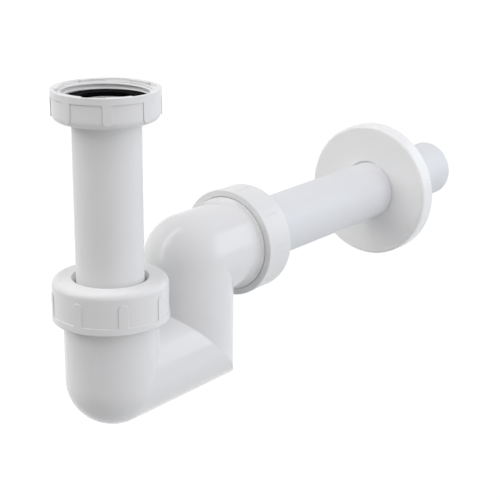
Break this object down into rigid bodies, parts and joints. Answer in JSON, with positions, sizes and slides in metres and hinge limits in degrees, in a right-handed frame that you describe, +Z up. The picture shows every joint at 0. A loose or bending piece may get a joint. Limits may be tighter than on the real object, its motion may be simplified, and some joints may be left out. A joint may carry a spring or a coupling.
{
  "type": "basin trap",
  "caption": "Tubular washbasin trap with a threaded inlet union, dipping inlet pipe, ball-bottomed tube body, compression nuts, and an outlet pipe with a wall flange.",
  "frame": {"origin": "centre of the inlet's sealing face, the top of the flat gasket, where the union nut's thread begins", "axes": "+Z up along the inlet pipe and the union nut's thread, +Y along the outlet pipe towards the wall"},
  "size_m": [0.0764, 0.3151, 0.1621],
  "materials": {
    "body_plastic": "smooth glossy white moulded plastic",
    "nut_plastic": "glossy white moulded plastic with grip ribs",
    "pipe_plastic": "glossy white extruded plastic pipe",
    "flange_plastic": "semi-gloss white moulded plastic",
    "ring_plastic": "plain white moulded plastic",
    "black_rubber": "matt black flat rubber",
    "seal_rubber": "matt black moulded rubber"
  },
  "bodies": {
    "union": {"inlet_union_nut": "nut_plastic"},
    "inlet_tail": {"inlet_pipe": "pipe_plastic", "inlet_gasket": "black_rubber"},
    "trap": {"trap_body": "body_plastic", "inlet_cone_seal": "seal_rubber", "outlet_cone_seal": "seal_rubber"},
    "inlet_ring": {"inlet_slip_ring": "ring_plastic"},
    "inlet_nut": {"inlet_clamp_nut": "nut_plastic"},
    "outlet_ring": {"outlet_slip_ring": "ring_plastic"},
    "outlet_nut": {"outlet_clamp_nut": "nut_plastic"},
    "outlet_tail": {"outlet_pipe": "pipe_plastic"},
    "flange": {"wall_flange": "flange_plastic"}
  },
  "joints": [
    {"name": "swivel", "type": "hinge", "parent": "union", "child": "inlet_tail", "pos_m": [0, 0, 0], "axis": [0, 0, 1], "continuous": true},
    {"name": "height", "type": "slide", "parent": "inlet_tail", "child": "trap", "axis": [0, 0, 1], "range_m": [-0.04, 0.006]},
    {"name": "inlet_ring_lift", "type": "slide", "parent": "trap", "child": "inlet_ring", "axis": [0, 0, 1], "range_m": [0, 0.009]},
    {"name": "inlet_nut_turn", "type": "hinge", "parent": "inlet_ring", "child": "inlet_nut", "pos_m": [0, 0, -0.0944], "axis": [0, 0, 1], "range_deg": [0, 1080]},
    {"name": "outlet_ring_lift", "type": "slide", "parent": "trap", "child": "outlet_ring", "axis": [0, 1, 0], "range_m": [0, 0.009]},
    {"name": "outlet_nut_turn", "type": "hinge", "parent": "outlet_ring", "child": "outlet_nut", "pos_m": [0, 0.0981, -0.0896], "axis": [0, 1, 0], "range_deg": [0, 1080]},
    {"name": "outlet_pipe_slide", "type": "slide", "parent": "trap", "child": "outlet_tail", "axis": [0, 1, 0], "range_m": [-0.02, 0.015]},
    {"name": "flange_slide", "type": "slide", "parent": "outlet_tail", "child": "flange", "axis": [0, 1, 0], "range_m": [-0.085, 0.04]}
  ],
  "couplings": [
    {"joint": "inlet_ring_lift", "follows": "inlet_nut_turn", "m_per_rad": 0.000477},
    {"joint": "outlet_ring_lift", "follows": "outlet_nut_turn", "m_per_rad": 0.000477}
  ]
}
